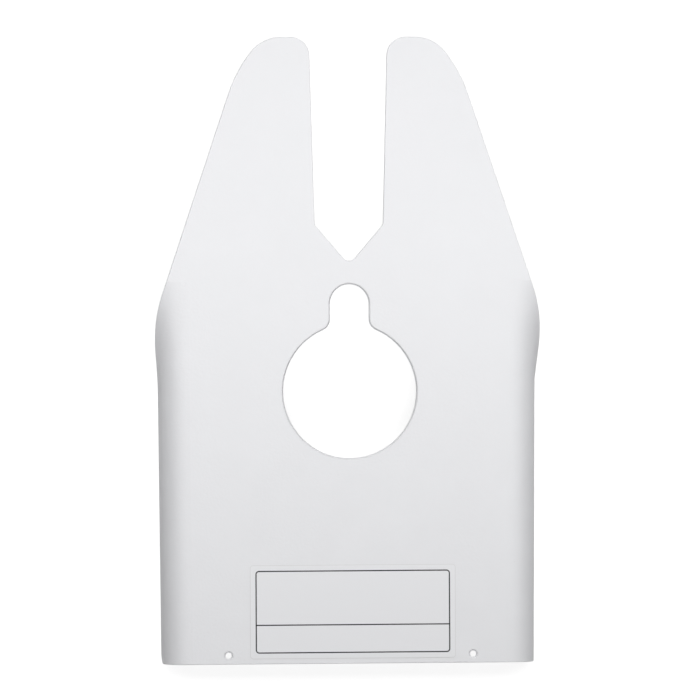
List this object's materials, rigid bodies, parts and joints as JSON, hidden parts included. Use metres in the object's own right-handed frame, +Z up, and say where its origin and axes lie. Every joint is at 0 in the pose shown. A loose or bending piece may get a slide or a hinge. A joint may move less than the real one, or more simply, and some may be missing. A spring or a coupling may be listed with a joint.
{
  "type": "outboard hydrofoil",
  "caption": "Formed sheet-metal stabiliser plate for an outboard motor: forked arms around the leg, keyhole opening, and long sides rolled down into wings.",
  "frame": {"origin": "centre of the bounding box in plan, level with the lower edges of the two wings that the plate stands on", "axes": "+Y forward along the two arms, towards the boat; +X to starboard; +Z up through the flat of the plate"},
  "size_m": [0.3872, 0.6272, 0.0452],
  "materials": {
    "powder_coat": "white powder coat on formed aluminium sheet, satin gloss with a fine orange peel",
    "clear_film": "thin clear self-adhesive film, so it takes the colour of the coating under it"
  },
  "bodies": {
    "root": {"foil_plate": "powder_coat", "label_film": "clear_film"}
  },
  "joints": []
}
